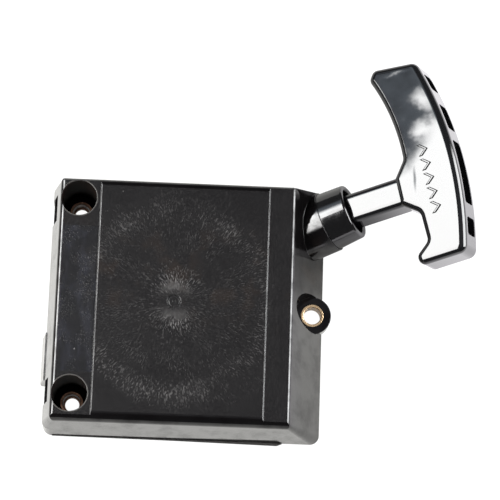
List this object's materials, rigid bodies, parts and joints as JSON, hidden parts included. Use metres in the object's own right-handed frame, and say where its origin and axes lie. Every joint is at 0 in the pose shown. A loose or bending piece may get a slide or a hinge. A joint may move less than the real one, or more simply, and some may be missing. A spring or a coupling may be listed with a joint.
{
  "type": "recoil starter",
  "caption": "Pull-rope recoil starter for a small engine: black moulded housing with brass mounting sleeves, rope outlet with collar, T-grip, sprung reel and pawls.",
  "frame": {"origin": "on the reel's axis, at the mounting face of the housing", "axes": "+Z out of the front panel along the reel's axis, +X towards the rope outlet side, +Y up the front panel"},
  "size_m": [0.2107, 0.1866, 0.0581],
  "materials": {
    "housing_plastic": "satin black",
    "collar_plastic": "gloss black",
    "grip_plastic": "gloss black",
    "brass": "machined",
    "nylon": "satin natural",
    "bearing_plastic": "satin",
    "rope": "braided",
    "zinc_steel": "zinc plated",
    "spring_steel": "blued"
  },
  "bodies": {
    "housing": {"housing": "housing_plastic", "sleeve_upper_left": "brass", "sleeve_lower_left": "brass", "sleeve_right": "brass", "outlet_collar": "collar_plastic", "rope_eyelet": "zinc_steel", "axle_sleeve": "bearing_plastic", "post_insert": "brass", "retaining_washer": "zinc_steel", "shoulder_screw": "zinc_steel", "friction_spring": "spring_steel", "spring_cassette": "zinc_steel", "recoil_spring": "spring_steel", "spring_cover": "zinc_steel", "cover_screws": "zinc_steel", "rope_lead": "rope"},
    "reel": {"reel": "nylon", "reel_bearing": "bearing_plastic", "rope_coil": "rope", "pawl_pins": "zinc_steel"},
    "guide_plate": {"guide_plate": "zinc_steel"},
    "pawl_a": {"pawl_a": "zinc_steel"},
    "pawl_b": {"pawl_b": "zinc_steel"},
    "grip": {"grip": "grip_plastic", "knot_washer": "zinc_steel", "grip_knot": "rope"}
  },
  "joints": [
    {"name": "grip_pull", "type": "slide", "parent": "housing", "child": "grip", "axis": [0.8648, 0.2333, 0.4446], "range_m": [0, 0.65], "deforming": ["rope_lead"]},
    {"name": "reel_spin", "type": "hinge", "parent": "housing", "child": "reel", "pos_m": [0, 0, 0.015], "axis": [0, 0, -1], "range_deg": [0, 1142], "deforming": ["recoil_spring"]},
    {"name": "guide_turn", "type": "hinge", "parent": "reel", "child": "guide_plate", "pos_m": [0, 0, 0.0045], "axis": [0, 0, 1], "range_deg": [0, 28]},
    {"name": "pawl_a_swing", "type": "hinge", "parent": "reel", "child": "pawl_a", "pos_m": [0.00827, -0.01821, 0.0075], "axis": [0, 0, 1], "range_deg": [0, 28]},
    {"name": "pawl_b_swing", "type": "hinge", "parent": "reel", "child": "pawl_b", "pos_m": [-0.00827, 0.01821, 0.0075], "axis": [0, 0, 1], "range_deg": [0, 28]}
  ],
  "couplings": [
    {"joint": "reel_spin", "follows": "grip_pull", "rad_per_m": 30.6},
    {"joint": "pawl_a_swing", "follows": "guide_turn", "ratio": 1},
    {"joint": "pawl_b_swing", "follows": "guide_turn", "ratio": 1}
  ]
}
